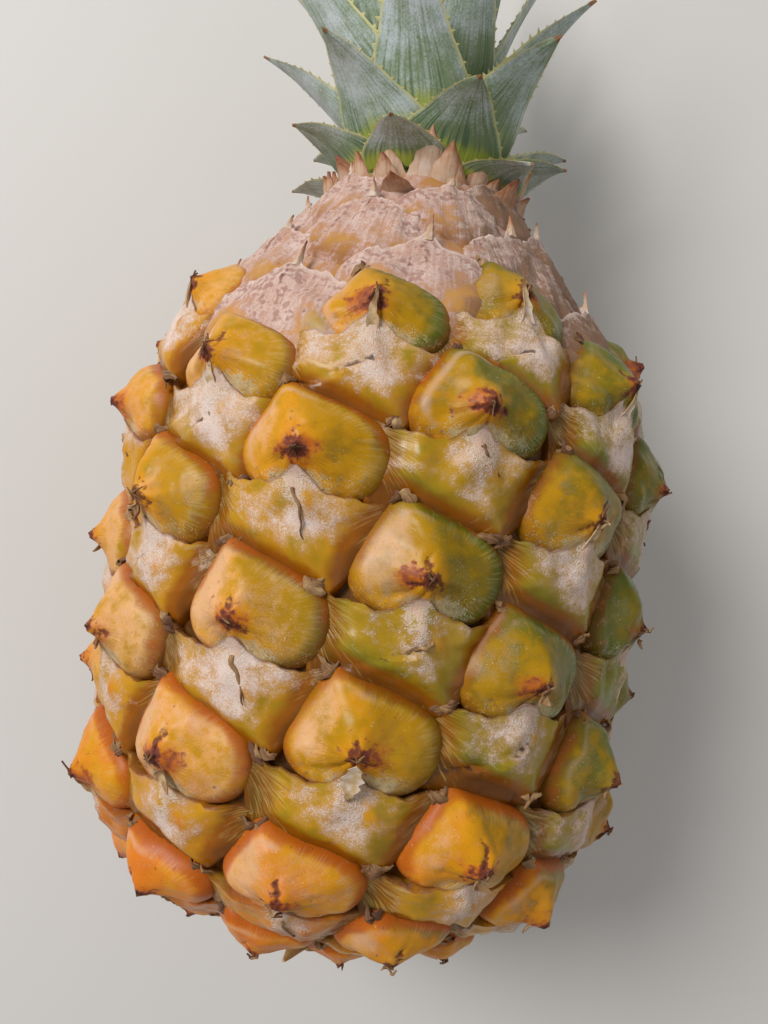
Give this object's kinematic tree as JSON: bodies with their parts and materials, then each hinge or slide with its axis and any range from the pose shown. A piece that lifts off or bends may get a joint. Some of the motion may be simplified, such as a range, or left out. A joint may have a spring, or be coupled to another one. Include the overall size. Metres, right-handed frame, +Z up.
{
  "type": "pineapple fruit with crown",
  "caption": "Small picked pineapple lying on its side: plump rind of spiralling beaked eyes over bracts, a shoulder of dry bracts, a cut stalk and a tuft of pointed leaves.",
  "frame": {"origin": "on the level that the fruit lies on, under the middle of its bounding box", "axes": "+Z up, +Y along the fruit from its base towards its crown, +X to the right seen from above with the crown away"},
  "size_m": [0.0914, 0.201, 0.085],
  "materials": {
    "rind": "glossy golden domes with olive rims, and bracts dusted whitish",
    "flesh": "moist",
    "shoulder_bracts": "dry and papery",
    "stalk": "dry and fibrous",
    "crown_stem": "dull",
    "crown_leaves": "satin, with a silvery bloom and fine stripes"
  },
  "bodies": {
    "root": {"fruit_flesh": "flesh", "eye_row_01": "rind", "eye_row_02": "rind", "eye_row_03": "rind", "eye_row_04": "rind", "eye_row_05": "rind", "eye_row_06": "rind", "eye_row_07": "rind", "eye_row_08": "rind", "eye_row_09": "rind", "eye_row_10": "rind", "eye_row_11": "rind", "eye_row_12": "rind", "eye_row_13": "rind", "shoulder_bracts": "shoulder_bracts", "cut_stalk": "stalk", "crown_stem": "crown_stem", "crown_leaf_01": "crown_leaves", "crown_leaf_02": "crown_leaves", "crown_leaf_03": "crown_leaves", "crown_leaf_04": "crown_leaves", "crown_leaf_05": "crown_leaves", "crown_leaf_06": "crown_leaves", "crown_leaf_07": "crown_leaves", "crown_leaf_08": "crown_leaves", "crown_leaf_09": "crown_leaves", "crown_leaf_10": "crown_leaves", "crown_leaf_11": "crown_leaves", "crown_leaf_12": "crown_leaves", "crown_leaf_13": "crown_leaves", "crown_leaf_14": "crown_leaves", "crown_leaf_15": "crown_leaves", "crown_leaf_16": "crown_leaves", "crown_leaf_17": "crown_leaves", "crown_leaf_18": "crown_leaves", "crown_leaf_19": "crown_leaves", "crown_leaf_20": "crown_leaves", "crown_leaf_21": "crown_leaves", "crown_leaf_22": "crown_leaves", "crown_leaf_23": "crown_leaves", "crown_leaf_24": "crown_leaves", "crown_leaf_25": "crown_leaves", "crown_leaf_26": "crown_leaves", "crown_leaf_27": "crown_leaves", "crown_leaf_28": "crown_leaves", "crown_leaf_29": "crown_leaves", "crown_leaf_30": "crown_leaves", "crown_leaf_31": "crown_leaves", "crown_leaf_32": "crown_leaves", "crown_leaf_33": "crown_leaves", "crown_leaf_34": "crown_leaves"}
  },
  "joints": []
}
